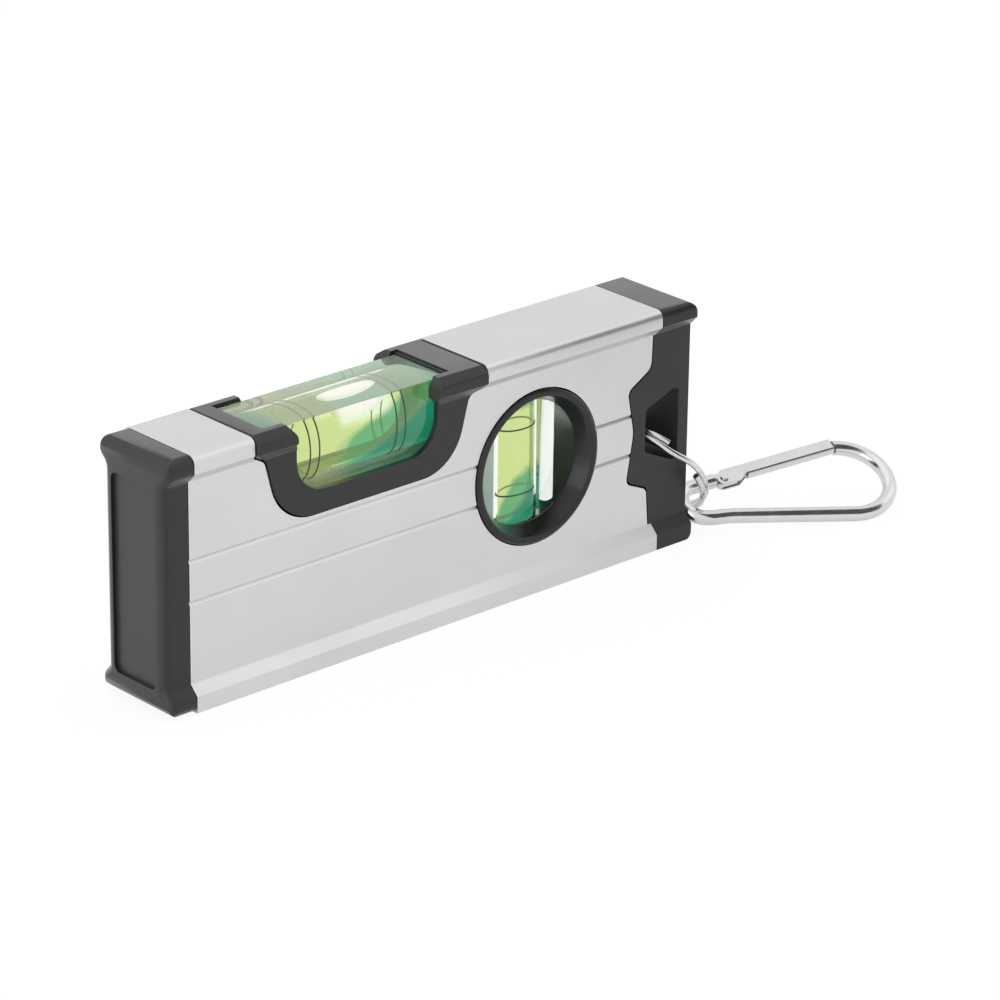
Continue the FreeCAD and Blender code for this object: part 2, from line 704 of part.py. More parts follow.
def snap_hook():
    """Bent wire with a wide end, an eye, and two flattened ends for the gate."""
    start, along, outward = gate_line()
    taper = math.degrees(math.asin((HOOK_WIDE - HOOK_EYE) / HOOK_SPAN))
    nose = NOSE_ANGLE + NOSE_TRIM
    wide = [wide_bend(angle) for angle in (nose, 0, -90 - taper)]
    eye_centre = V(-HOOK_SPAN, 0, 0)
    below = V(along.x, -along.y, 0)
    inward = V(-below.y, below.x, 0)
    bulge = eye_centre - inward * (HOOK_EYE + EYE_BULGE) + below * EYE_BULGE_AT
    rejoin = eye_centre - inward * HOOK_EYE + below * EYE_REJOIN
    side = eye_centre - V(HOOK_EYE, 0, 0)
    jog = Part.BSplineCurve()
    jog.interpolate(Points=[rejoin, bulge, side], InitialTangent=below * -1, FinalTangent=V(0, 1, 0))
    back = eye_centre + V(-math.sqrt(0.5), math.sqrt(0.5), 0) * HOOK_EYE
    neck = start + along * HINGE_NECK
    path = Part.Wire([
        Part.Arc(*wide).toShape(),
        Part.makeLine(wide[2], rejoin),
        jog.toShape(),
        Part.Arc(side, back, start).toShape(),
        Part.makeLine(start, neck),
    ])
    turned = math.radians(nose)
    profile = Part.Wire(Part.makeCircle(HOOK_WIRE, wide[0], V(math.sin(turned), -math.cos(turned), 0)))
    hook = path.makePipeShell([profile], True, False)
    trim = box(-2 * HOOK_WIRE, NOSE_GAP, -2 * HOOK_WIRE, 2 * HOOK_WIRE, -2 * HOOK_WIRE, 2 * HOOK_WIRE)
    hook = hook.cut(beside_gate(trim, gate_tip()))
    return placed(hook.fuse([hinge_end(), nose_end()]).removeSplitter())


def hinge_end():
    """Flattened wire end that carries the rivet."""
    inner_side, outer_side = FLAT_SIDES
    outline = [
        (HINGE_NECK - HINGE_FROM_EYE - GATE_LAP, -HOOK_WIRE / 2, 0),
        (HINGE_NECK - HINGE_FROM_EYE, -HOOK_WIRE / 2, 0),
        (-GATE_EAR, -inner_side, FLAT_ROUND),
        (HINGE_TAIL, -inner_side, FLAT_ROUND),
        (HINGE_TAIL, outer_side, FLAT_ROUND),
        (HINGE_NECK - HINGE_FROM_EYE - GATE_LAP, outer_side, 0),
    ]
    wire = rounded_wire(outline, lambda a, b: V(a, b, -WIRE_FLAT / 2))
    end = Part.Face(wire).extrude(V(0, 0, WIRE_FLAT))
    end = end.cut(Part.makeCylinder(RIVET_RADIUS, 2 * WIRE_FLAT, V(0, -RIVET_INWARD, -WIRE_FLAT)))
    return beside_gate(end, HINGE_FROM_EYE)


def nose_end():
    """Flattened wire end that the gate's tip closes over."""
    low = GATE_SHEET - GATE_HEIGHT / 2 + GATE_SIDE_GAP
    nose = box(-NOSE_LENGTH, NOSE_ROOT, low, low + NOSE_HEIGHT, -WIRE_FLAT / 2, WIRE_FLAT / 2)
    nose = nose.makeFillet(FIT * 2, [e for e in nose.Edges if abs(e.tangentAt(0).z) > 0.9 and e.CenterOfMass.x < 0])
    return beside_gate(nose, gate_tip())


def gate_channel(start, end):
    """Folded channel, open outward, with rounded folds."""
    inner = WIRE_FLAT / 2 + GATE_SIDE_GAP
    outer = inner + GATE_SHEET
    half = GATE_HEIGHT / 2
    floor = GATE_SHEET - half
    return prism_along_x([
        (half, -outer, 0),
        (half, -inner, 0),
        (floor, -inner, GATE_FOLD - GATE_SHEET),
        (floor, inner, GATE_FOLD - GATE_SHEET),
        (half, inner, 0),
        (half, outer, 0),
        (-half, outer, GATE_FOLD),
        (-half, -outer, GATE_FOLD),
    ], start, end)


def hook_gate():
    """Folded sheet channel with two ears that hang to its inner side at the rivet."""
    inner = WIRE_FLAT / 2 + GATE_SIDE_GAP
    outer = inner + GATE_SHEET
    half = GATE_HEIGHT / 2
    low = -RIVET_INWARD - GATE_EAR
    lap = GATE_WEB_START + GATE_LAP
    outline = [
        (-GATE_EAR, low, GATE_EAR_ROUND),
        (GATE_WEB_START - GATE_EAR_SLOPE, low, GATE_EAR_ROUND / 2),
        (GATE_WEB_START, GATE_FOLD - half, 0),
        (lap, GATE_FOLD - half, 0),
        (lap, half, 0),
        (0, half, GATE_EAR_ROUND),
        (-GATE_EAR, 0, GATE_EAR_ROUND / 2),
    ]
    wire = rounded_wire(outline, lambda a, b: V(a, b, -outer))
    ears = Part.Face(wire).extrude(V(0, 0, 2 * outer))
    ears = ears.cut(box(-REACH, REACH, -REACH, REACH, -inner, inner))
    gate = ears.fuse(gate_channel(GATE_WEB_START, gate_tip() - HINGE_FROM_EYE)).removeSplitter()
    bore = Part.makeCylinder(RIVET_RADIUS + RIVET_CLEARANCE, 4 * outer, V(0, -RIVET_INWARD, -2 * outer))
    return placed(beside_gate(gate.cut(bore), HINGE_FROM_EYE))


def gate_rivet():
    """Headed pin through the ears and the flattened wire."""
    inner = WIRE_FLAT / 2 + GATE_SIDE_GAP + GATE_SHEET + RIVET_CLEARANCE
    rivet = Part.makeCylinder(RIVET_RADIUS, 2 * inner, V(0, -RIVET_INWARD, -inner))
    for side in (-1, 1):
        low = inner if side > 0 else -inner - RIVET_HEAD_HEIGHT
        head = Part.makeCylinder(RIVET_HEAD, RIVET_HEAD_HEIGHT, V(0, -RIVET_INWARD, low))
        rim = [e for e in head.Edges if abs(abs(e.CenterOfMass.z) - inner - RIVET_HEAD_HEIGHT) < 1e-6]
        rivet = rivet.fuse(head.makeFillet(RIVET_HEAD_ROUND, rim))
    return placed(beside_gate(rivet.removeSplitter(), HINGE_FROM_EYE))


def gate_spring():
    """Leaf that lies in the gate's channel and rises toward the wire's end."""
    floor = GATE_SHEET - GATE_HEIGHT / 2
    width = WIRE_FLAT + 2 * (GATE_SIDE_GAP + GATE_SHEET - GATE_FOLD)
    end = GATE_WEB_START + SPRING_LENGTH
    bend = GATE_WEB_START + SPRING_BEND
    free = HINGE_TAIL + GATE_LAP
    leaf = [
        (end, floor, 0),
        (end, floor + SPRING_SHEET, 0),
        (bend, floor + SPRING_SHEET, SPRING_BEND),
        (free, floor + SPRING_SHEET + SPRING_RISE, 0),
        (free, floor + SPRING_RISE, 0),
        (bend, floor, SPRING_BEND),
    ]
    wire = rounded_wire(leaf, lambda a, b: V(a, b, -width / 2))
    spring = Part.Face(wire).extrude(V(0, 0, width))
    return placed(beside_gate(spring, HINGE_FROM_EYE))


NODES = {
    "body_extrusion": body_extrusion,
    "left_end_cap": left_end_cap,
    "right_end_cap": right_end_cap,
    "base_magnets": base_magnets,
    "top_vial_housing": top_vial_housing,
    "top_vial_block": top_vial_block,
    "top_vial_liquid": top_vial_liquid,
    "top_vial_plug": top_vial_plug,
    "top_vial_rings": top_vial_rings,
    "plumb_bezel_front": lambda: plumb_bezel(-1),
    "plumb_bezel_rear": lambda: plumb_bezel(1),
    "plumb_vial_block": plumb_vial_block,
    "plumb_vial_liquid": plumb_vial_liquid,
    "plumb_vial_plug": plumb_vial_plug,
    "plumb_vial_rings": plumb_vial_rings,
    "split_ring": split_ring,
    "snap_hook": snap_hook,
    "hook_gate": hook_gate,
    "gate_rivet": gate_rivet,
    "gate_spring": gate_spring,
}


os.makedirs("parts", exist_ok=True)
for name, build in NODES.items():
    shape = build()
    shape.exportStep("parts/" + name + ".step")
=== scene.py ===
import json
import math
from collections import namedtuple

import bmesh
import bpy
from bpy.props import FloatProperty, FloatVectorProperty, PointerProperty
from mathutils import Matrix, Vector

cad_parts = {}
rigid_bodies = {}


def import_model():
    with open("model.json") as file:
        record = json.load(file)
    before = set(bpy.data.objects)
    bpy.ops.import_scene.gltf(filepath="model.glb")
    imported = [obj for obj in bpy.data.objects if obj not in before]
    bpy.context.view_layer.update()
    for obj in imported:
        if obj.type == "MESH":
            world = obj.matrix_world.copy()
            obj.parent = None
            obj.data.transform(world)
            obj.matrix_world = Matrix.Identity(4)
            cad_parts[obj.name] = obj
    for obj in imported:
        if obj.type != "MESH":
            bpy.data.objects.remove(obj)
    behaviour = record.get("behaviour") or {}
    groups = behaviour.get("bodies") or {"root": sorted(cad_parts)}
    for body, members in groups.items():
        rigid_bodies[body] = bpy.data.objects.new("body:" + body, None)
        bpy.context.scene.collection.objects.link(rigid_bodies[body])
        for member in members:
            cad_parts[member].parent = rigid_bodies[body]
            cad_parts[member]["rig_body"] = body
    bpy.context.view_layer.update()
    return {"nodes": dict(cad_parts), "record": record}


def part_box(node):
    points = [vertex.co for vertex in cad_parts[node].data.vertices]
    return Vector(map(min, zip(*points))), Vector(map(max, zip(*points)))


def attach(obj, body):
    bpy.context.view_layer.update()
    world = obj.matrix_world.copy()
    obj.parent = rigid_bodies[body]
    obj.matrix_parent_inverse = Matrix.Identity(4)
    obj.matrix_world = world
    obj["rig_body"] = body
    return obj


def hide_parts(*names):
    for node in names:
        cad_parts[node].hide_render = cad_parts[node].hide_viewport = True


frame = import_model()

bl_info = {
    "name": "Pocket Level",
    "version": (1, 0, 0),
    "blender": (4, 5, 0),
    "location": "View3D > Sidebar > Pocket Level",
    "description": "Dresses a pocket level with its vials, split ring and snap hook",
    "category": "Object",
}

MM = 0.001
SLOTS = {part["node"]: part["material_slot"] for part in frame["record"]["subparts"]}

# Fixed colours of the finishes
WHITE = (1.0, 1.0, 1.0, 1.0)
# Pale edge colour of the metal: real wear and a painted highlight
WORN_METAL_AND_HIGHLIGHT = (0.96, 0.95, 0.95, 1.0)
WORN_PLASTIC = (0.055, 0.055, 0.056, 1.0)
CLEAR_LIQUID = (0.95, 0.97, 0.90, 1.0)
# Whites and glow of the bubble: painted highlight
BUBBLE_PAINTED_WHITES = (0.96, 0.95, 0.95, 1.0), (1.0, 0.97, 0.98, 1.0)
BUBBLE_PAINTED_GLOW = (1.0, 0.93, 0.97, 1.0)
INK_SHADES = (0.010, 0.014, 0.010, 1.0), (0.022, 0.030, 0.022, 1.0)
DARK_CARD = (0.16, 0.16, 0.16, 1.0)
MAGNET_COLOUR = (0.60, 0.60, 0.61)
SPRING_COLOUR = (0.5, 0.5, 0.5)

# Refraction of a block in air, of the liquid in its block and of the bubble in its liquid
ACRYLIC_IOR = 1.49
LIQUID_IOR = 0.93
BUBBLE_IOR = 0.92

# Cells per metre of the noise in each finish, along X, Y and Z
METAL_CLOUDS = (60, 90, 90)
PLASTIC_CLOUDS = (180, 180, 180)
ACRYLIC_CLOUDS = (150, 150, 150)
LIQUID_WAVES = (220, 220, 220)
AIR_CLOUDS = (200, 200, 200)
INK_CLOUDS = (2500, 2500, 2500)
PLATE_CLOUDS = (350, 350, 350)

# Cells per metre of the plated pieces' drawing lines, across X and along it
ACROSS_LINES = 9000
ALONG_WIRE_LINES = 300
ALONG_MAGNET_LINES = 400

# Range in which most values of a noise lie
NOISE_LOW = 0.3
NOISE_HIGH = 0.7

# Cosines of the angle to a rounded normal where edge wear, on the metal also a painted highlight,
# sets in and where it is full
WEAR_AND_HIGHLIGHT_FROM = 0.99
WEAR_AND_HIGHLIGHT_FULL = 0.86

# The metal's wear and painted highlight along edges: its width against the plastic's, and how much
# of the pale edge colour shows
METAL_WEAR_AND_HIGHLIGHT_WIDTH = 1.6
METAL_WEAR_AND_HIGHLIGHT_SHARE = 0.8

# How squarely a face looks along the level where the end faces' painted light sets in and where it
# is full
END_LIGHT_FROM = 0.35
END_LIGHT_FULL = 0.95

# How low the angle of view is where the plastic's sheen sets in and where it is full
SHEEN_FROM = 0.42
SHEEN_FULL = 0.62

# Distances from a patch's place where it sets in and where it is full
PATCH_FROM = 0.06 * MM
PATCH_FULL = 0.02 * MM

# Blends in the liquid's painted shade and clear stretch, where places run from -1 to 1 over its
# length and its height
WAVE_DEPTH = 0.08
CORNER_BLEND = 0.22
END_BLEND = 0.09
END_SHADE = 0.9
CLEAR_BLEND = 0.12
CLEAR_END_OUTSIDE = 0.04
CLEAR_END_INSIDE = 0.06

# Clearness of the liquid where it is pale and where it carries painted shade, and the pale part's
# share of the painted glow
PALE_CLEARNESS = 0.95
SHADED_CLEARNESS = 0.45
PALE_PAINTED_GLOW = 0.45

# Angles in degrees past which an edge stays sharp
SOLID_EDGE = 32
WIRE_EDGE = 50
BLOCK_EDGE = 35
TURNED_EDGE = 40
NO_EDGE = 180

# Sizes of the vials' forms
TOP_BLOCK_ROUNDING = 0.2 * MM
PLUMB_BLOCK_ROUNDING = 0.08 * MM
TOP_BORE_SWELL = 0.08 * MM
TOP_BORE_ROUNDING = 0.8 * MM
PLUMB_BORE_SWELL = 0.06 * MM
PLUMB_BORE_ROUNDING = 0.6 * MM
BUBBLE_HALF_LENGTH = 5.6 * MM
CLEAR_HALF_LENGTH = 5.2 * MM
BUBBLE_GAP = 0.04 * MM

# Sockets of the Mix node in its colour form
MIX_FACTOR = 0
MIX_FIRST = 6
MIX_SECOND = 7
MIX_RESULT = 2

# Flat face of a clear block, at a place on an axis, with a finish of its own and a painted glow
Patch = namedtuple("Patch", "axis place tint clearness roughness glow")

# Reach of a filling along an axis
Span = namedtuple("Span", "axis low high")

# Clear stretch in the upper part of a filling, in places from -1 to 1
Stretch = namedtuple("Stretch", "middle half level")


class PocketLevelSettings(bpy.types.PropertyGroup):
    """Sizes and colours of the level's finishes, and of the light on it."""

    metal_colour: FloatVectorProperty(
        name="Aluminium", description="Colour of the body",
        subtype="COLOR", size=3, min=0, max=1, default=(0.725, 0.713, 0.716))
    metal_roughness: FloatProperty(
        name="Aluminium roughness", description="How dull the body is",
        subtype="FACTOR", min=0, max=1, default=0.42)
    streak_length: FloatProperty(
        name="Streak length", description="Length of the drawn streaks on the body",
        subtype="DISTANCE", unit="LENGTH", default=9 * MM)
    streak_width: FloatProperty(
        name="Streak width", description="Width of the drawn streaks on the body",
        subtype="DISTANCE", unit="LENGTH", default=0.12 * MM)
    plastic_colour: FloatVectorProperty(
        name="Black plastic", description="Colour of the caps, saddle and bezels",
        subtype="COLOR", size=3, min=0, max=1, default=(0.013, 0.013, 0.0135))
    plastic_roughness: FloatProperty(
        name="Plastic roughness", description="How dull the black plastic is",
        subtype="FACTOR", min=0, max=1, default=0.42)
    bezel_roughness: FloatProperty(
        name="Bezel roughness", description="How dull the bezels are",
        subtype="FACTOR", min=0, max=1, default=0.20)
    plastic_sheen: FloatProperty(
        name="Plastic sheen", description="Gloss of the plastic where it is seen at a low angle",
        subtype="FACTOR", min=0, max=1, default=0.8)
    plastic_grain: FloatProperty(
        name="Plastic grain", description="Size of the moulded grain",
        subtype="DISTANCE", unit="LENGTH", default=0.16 * MM)
    # Painted light: how pale the caps' end faces are painted, standing for light from the side
    end_painted_light: FloatProperty(
        name="End scuffs", description="How pale the caps' end faces have worn",
        subtype="FACTOR", min=0, max=1, default=0.045)
    acrylic_colour: FloatVectorProperty(
        name="Acrylic", description="Tint of the clear blocks",
        subtype="COLOR", size=3, min=0, max=1, default=(0.93, 0.96, 0.93))
    frosted_colour: FloatVectorProperty(
        name="Frosted floor", description="Colour of the top block's dull underside",
        subtype="COLOR", size=3, min=0, max=1, default=(0.54, 0.55, 0.44))
    # Painted light: a pale haze painted on the top block's upper face, making the top look lighter
    top_painted_light: FloatVectorProperty(
        name="Hazy top", description="Colour of the haze on the top block",
        subtype="COLOR", size=3, min=0, max=1, default=(0.86, 0.89, 0.78))
    # Painted light: the plumb block's left side is a pale teal that glows, standing for light
    # passing in through it
    side_painted_light: FloatVectorProperty(
        name="Dull side", description="Colour of the plumb block's dull left side",
        subtype="COLOR", size=3, min=0, max=1, default=(0.50, 0.60, 0.57))
    liquid_colour: FloatVectorProperty(
        name="Liquid", description="Colour of the liquid at its middle",
        subtype="COLOR", size=3, min=0, max=1, default=(0.55, 0.65, 0.26))
    # Painted shade: a darker teal painted on the liquid's ends and one lower corner
    liquid_painted_shade: FloatVectorProperty(
        name="Deep liquid", description="Colour of the liquid at its ends and one lower corner",
        subtype="COLOR", size=3, min=0, max=1, default=(0.014, 0.34, 0.19))
    # Painted glow: the liquid gives off light in its own colour, though it is no lamp
    liquid_painted_glow: FloatProperty(
        name="Liquid glow", description="How strongly the dye lights up",
        subtype="FACTOR", min=0, max=1, default=0.32)
    bubble_height: FloatProperty(
        name="Bubble height", description="Depth of the top vial's bubble",
        subtype="DISTANCE", unit="LENGTH", default=3.2 * MM)
    bubble_width: FloatProperty(
        name="Bubble width", description="Half width of the top vial's bubble",
        subtype="DISTANCE", unit="LENGTH", default=1.45 * MM)
    bubble_shift: FloatProperty(
        name="Bubble shift",
        description="How far the top vial's bubble lies right of the block's middle",
        subtype="DISTANCE", unit="LENGTH", default=2.8 * MM)
    plumb_draft: FloatProperty(
        name="Plumb block draft", description="How far the plumb block's right side is drawn in",
        subtype="DISTANCE", unit="LENGTH", default=0.6 * MM)
    wire_colour: FloatVectorProperty(
        name="Plated wire", description="Colour of the ring and the hook",
        subtype="COLOR", size=3, min=0, max=1, default=(0.73, 0.725, 0.715))
    wire_roughness: FloatProperty(
        name="Wire roughness", description="How dull the plating is",
        subtype="FACTOR", min=0, max=1, default=0.16)
    # Width of the edge wear; on the metal it also carries a painted highlight
    edge_width: FloatProperty(
        name="Edge wear", description="Width of the worn line along edges",
        subtype="DISTANCE", unit="LENGTH", default=0.12 * MM)
    top_light: FloatProperty(
        name="Top light", description="Strength of the overhead light",
        subtype="POWER", min=0, default=0.6)
    side_light: FloatProperty(
        name="Side light", description="Strength of the light at the left",
        subtype="POWER", min=0, default=1.2)
    front_light: FloatProperty(
        name="Front light", description="Strength of the light at the front right",
        subtype="POWER", min=0, default=0.38)
    room_light: FloatProperty(
        name="Room light", description="Strength of the pale room", min=0, default=0.72)
    mirror_light: FloatProperty(
        name="Mirror light", description="Strength of the pale room in reflections",
        min=0, default=0.95)
    card_distance: FloatProperty(
        name="Card distance", description="Distance of the dark card from the hook",
        subtype="DISTANCE", unit="LENGTH", default=0.055)
    card_size: FloatProperty(
        name="Card size", description="Side of the dark card",
        subtype="DISTANCE", unit="LENGTH", default=0.070)
    card_reach: FloatProperty(
        name="Card reach", description="Distance over which the dark card is reflected",
        subtype="DISTANCE", unit="LENGTH", default=0.080)
    floor_size: FloatProperty(
        name="Floor size", description="Side of the floor",
        subtype="DISTANCE", unit="LENGTH", default=6.0)


def settings():
    """The values in the panel."""
    return bpy.context.scene.pocket_level


def colour(value, tone=1.0):
    """Opaque colour, made darker or paler by a tone."""
    return (*(part * tone for part in value), 1.0)


def fill(tree, node, values):
    """Sets a node's inputs, and links those whose value is an output of another node."""
    for name, value in values.items():
        if isinstance(value, bpy.types.NodeSocket):
            tree.links.new(value, node.inputs[name])
        else:
            node.inputs[name].default_value = value


def add(tree, kind, values=None, **facts):
    """Adds a node of a kind, with facts such as its operation, and fills its inputs."""
    node = tree.nodes.new(kind)
    for name, value in facts.items():
        setattr(node, name, value)
    fill(tree, node, values or {})
    return node


def new_material(name):
    """Material, with its node tree and its principled shader."""
    material = bpy.data.materials.new(name)
    material.use_nodes = True
    tree = material.node_tree
    shader = next(node for node in tree.nodes if node.type == "BSDF_PRINCIPLED")
    return material, tree, shader


def empty_tree(owner):
    """Node tree of a material or a world, with nothing in it."""
    owner.use_nodes = True
    owner.node_tree.nodes.clear()
    return owner.node_tree


def calculate(tree, operation, *values):
    """Result of a Math node for one or two values."""
    return add(tree, "ShaderNodeMath", dict(enumerate(values)), operation=operation).outputs[0]


def remap(tree, value, low, high, out_low, out_high):
    """A value's range from low to high set over another range, and held at its ends."""
    return add(tree, "ShaderNodeMapRange", {
        "Value": value, "From Min": low, "From Max": high, "To Min": out_low, "To Max": out_high},
    ).outputs["Result"]


def ramp(tree, value, none_at, full_at):
    """0 up to one value and 1 past another."""
    return remap(tree, value, none_at, full_at, 0.0, 1.0)


def fade(tree, share, start, end):
    """Start where a share is 0, end where it is 1."""
    return remap(tree, share, 0.0, 1.0, start, end)


def spread(tree, field, low=0.0, high=1.0):
    """A noise's usual range set over low to high."""
    return remap(tree, field, NOISE_LOW, NOISE_HIGH, low, high)


def object_places(tree):
    """Outputs X, Y and Z of the place on the object."""
    where = add(tree, "ShaderNodeTexCoord").outputs["Object"]
    return add(tree, "ShaderNodeSeparateXYZ", {"Vector": where}).outputs


def distance_from(tree, value, place):
    """How far a value is from a place, to either side."""
    return calculate(tree, "ABSOLUTE", calculate(tree, "SUBTRACT", value, place))


def noise(tree, cells, detail, rough=0.5):
    """Noise over the object, with a number of cells per metre along each axis."""
    where = add(tree, "ShaderNodeTexCoord").outputs["Object"]
    stretched = add(tree, "ShaderNodeMapping", {"Vector": where, "Scale": cells}).outputs["Vector"]
    return add(tree, "ShaderNodeTexNoise", {
        "Vector": stretched, "Scale": 1.0, "Detail": detail, "Roughness": rough}).outputs["Fac"]


def mix_colours(tree, factor, first, second):
    """First colour where the factor is 0, second where it is 1."""
    return add(tree, "ShaderNodeMix", data_type="RGBA", values={
        MIX_FACTOR: factor, MIX_FIRST: first, MIX_SECOND: second}).outputs[MIX_RESULT]


def edge_mask(tree, width):
    """1 along edges and 0 on the flats, from the angle to a rounded normal; it marks wear, and on
    the metal also a painted highlight.
    """
    rounded = add(tree, "ShaderNodeBevel", {"Radius": width}, samples=4).outputs["Normal"]
    plain = add(tree, "ShaderNodeNewGeometry").outputs["Normal"]
    cosine = add(tree, "ShaderNodeVectorMath", {0: rounded, 1: plain}, operation="DOT_PRODUCT")
    return ramp(tree, cosine.outputs["Value"], WEAR_AND_HIGHLIGHT_FROM, WEAR_AND_HIGHLIGHT_FULL)


def bump(tree, height, strength, distance):
    """Normal that a height field bends."""
    return add(tree, "ShaderNodeBump", {
        "Height": height, "Strength": strength, "Distance": distance}).outputs["Normal"]


def aluminium():
    """Satin anodised aluminium with fine streaks along its drawn length."""
    s = settings()
    material, tree, shader = new_material("satin_aluminium")
    across = 1 / s.streak_width
    streaks = noise(tree, (1 / s.streak_length, across, across), detail=3.0, rough=0.6)
    clouds = noise(tree, METAL_CLOUDS, detail=2.0)
    base = mix_colours(
        tree, spread(tree, clouds), colour(s.metal_colour, tone=0.955), colour(s.metal_colour))
    # Pale edges on the metal: real wear and a painted highlight
    worn = fade(tree, edge_mask(tree, s.edge_width * METAL_WEAR_AND_HIGHLIGHT_WIDTH), 0.0, METAL_WEAR_AND_HIGHLIGHT_SHARE)
    fill(tree, shader, {
        "Base Color": mix_colours(tree, worn, base, WORN_METAL_AND_HIGHLIGHT),
        "Metallic": 1.0,
        "Roughness": spread(tree, streaks, s.metal_roughness - 0.05, s.metal_roughness + 0.06),
        "Normal": bump(tree, streaks, strength=0.12, distance=0.02 * MM),
    })
    return material


def black_plastic(name, roughness, gloss=0.5):
    """Moulded black plastic with a fine grain, slightly polished edges, and painted light that
    makes the faces along the level paler in mottled patches.
    """
    s = settings()
    material, tree, shader = new_material(name)
    grain = noise(tree, [1 / s.plastic_grain] * 3, detail=2.0, rough=0.55)
    clouds = noise(tree, PLASTIC_CLOUDS, detail=3.0)
    darker = colour(s.plastic_colour, tone=0.85)
    paler = colour(s.plastic_colour, tone=1.15)
    base = mix_colours(tree, spread(tree, clouds), darker, paler)
    base = mix_colours(tree, edge_mask(tree, s.edge_width), base, WORN_PLASTIC)
    # Painted light: faces that look along the level get a paler colour in mottled patches
    normal = add(tree, "ShaderNodeNewGeometry").outputs["Normal"]
    facing = add(tree, "ShaderNodeSeparateXYZ", {"Vector": normal}).outputs["X"]
    end_lit = ramp(tree, calculate(tree, "ABSOLUTE", facing), END_LIGHT_FROM, END_LIGHT_FULL)
    patches = remap(tree, clouds, 0.25, 0.75, out_low=0.55, out_high=1.0)
    mottled_end_light = calculate(tree, "MULTIPLY", end_lit, patches)
    grazing = add(tree, "ShaderNodeLayerWeight", {"Blend": 0.5}).outputs["Facing"]
    fill(tree, shader, {
        "Base Color": mix_colours(tree, mottled_end_light, base, colour([s.end_painted_light] * 3)),
        "Roughness": spread(tree, clouds, roughness - 0.04, roughness + 0.05),
        "Specular IOR Level": gloss,
        "Coat Weight": remap(tree, grazing, SHEEN_FROM, SHEEN_FULL, 0.0, s.plastic_sheen),
        "Coat Roughness": 0.32,
        "Normal": bump(tree, grain, strength=0.22, distance=0.03 * MM),
    })
    return material


def acrylic(name, *patches):
    """Clear cast acrylic, with patches of another finish."""
    s = settings()
    material, tree, shader = new_material(name)
    clouds = noise(tree, ACRYLIC_CLOUDS, detail=1.0)
    base = mix_colours(
        tree, clouds, colour(s.acrylic_colour, tone=0.985), colour(s.acrylic_colour))
    dull = spread(tree, clouds, 0.0, 0.02)
    clear = fade(tree, clouds, 1.0, 0.99)
    glow = 0.0
    places = object_places(tree)
    for patch in patches:
        off = distance_from(tree, places[patch.axis], patch.place)
        face = ramp(tree, off, PATCH_FROM, PATCH_FULL)
        base = mix_colours(tree, face, base, colour(patch.tint))
        dull = calculate(tree, "MAXIMUM", dull, fade(tree, face, 0.0, patch.roughness))
        clear = calculate(tree, "MULTIPLY", clear, fade(tree, face, 1.0, patch.clearness))
        # A patch's glow is painted light
        if patch.glow:
            glow = calculate(tree, "ADD", fade(tree, face, 0.0, patch.glow), glow)
    fill(tree, shader, {
        "Base Color": base,
        "Roughness": dull,
        "IOR": ACRYLIC_IOR,
        "Transmission Weight": clear,
        "Emission Color": base,
        "Emission Strength": glow,
    })
    return material


def liquid(name, along, across, lean, fall, shade_from, end_shade_from, clear_over=None):
    """Yellow-green liquid with a painted glow, and painted shade that makes it a darker teal at its
    ends and at one lower corner.

    Places run from -1 to 1 over both spans. The corner's painted shade sets in where lean times the
    place along plus fall times the place across is past shade_from.
    """
    s = settings()
    material, tree, shader = new_material(name)
    places = object_places(tree)
    length = remap(tree, places[along.axis], along.low, along.high, -1.0, 1.0)
    height = remap(tree, places[across.axis], across.low, across.high, -1.0, 1.0)
    waves = spread(tree, noise(tree, LIQUID_WAVES, detail=1.0), -WAVE_DEPTH, WAVE_DEPTH)
    # Painted shade over one lower corner and both ends
    corner = calculate(tree, "ADD", calculate(tree, "MULTIPLY", length, lean),
                       calculate(tree, "MULTIPLY", height, fall))
    corner = calculate(tree, "ADD", corner, waves)
    corner = ramp(tree, corner, shade_from, shade_from + CORNER_BLEND)
    ends = ramp(tree, calculate(tree, "ABSOLUTE", length), end_shade_from, end_shade_from + END_BLEND)
    painted_shade = calculate(tree, "MAXIMUM", fade(tree, ends, 0.0, END_SHADE), corner)
    base = mix_colours(tree, painted_shade, colour(s.liquid_colour), colour(s.liquid_painted_shade))
    if clear_over:
        middle, half, level = clear_over
        above = ramp(tree, height, level - CLEAR_BLEND, level + CLEAR_BLEND)
        within = ramp(tree, distance_from(tree, length, middle),
                      half + CLEAR_END_OUTSIDE, half - CLEAR_END_INSIDE)
        base = mix_colours(tree, calculate(tree, "MULTIPLY", above, within), base, CLEAR_LIQUID)
    fill(tree, shader, {
        "Base Color": base,
        "Roughness": 0.0,
        "IOR": LIQUID_IOR,
        "Transmission Weight": fade(tree, painted_shade, PALE_CLEARNESS, SHADED_CLEARNESS),
        # Painted glow, near white over the clear stretch
        "Emission Color": base,
        "Emission Strength": fade(tree, painted_shade, s.liquid_painted_glow * PALE_PAINTED_GLOW, s.liquid_painted_glow),
    })
    return material


def air():
    """Inside of a bubble, seen from the liquid round it, painted a mostly opaque glowing white as a
    painted highlight.
    """
    material, tree, shader = new_material("bubble_painted_highlight")
    fill(tree, shader, {
        "Base Color": mix_colours(tree, noise(tree, AIR_CLOUDS, detail=1.0), *BUBBLE_PAINTED_WHITES),
        "Roughness": 0.05,
        "IOR": BUBBLE_IOR,
        "Transmission Weight": 0.10,
        # Painted glow of the bubble, though it is no lamp
        "Emission Color": BUBBLE_PAINTED_GLOW,
        "Emission Strength": 0.30,
    })
    return material


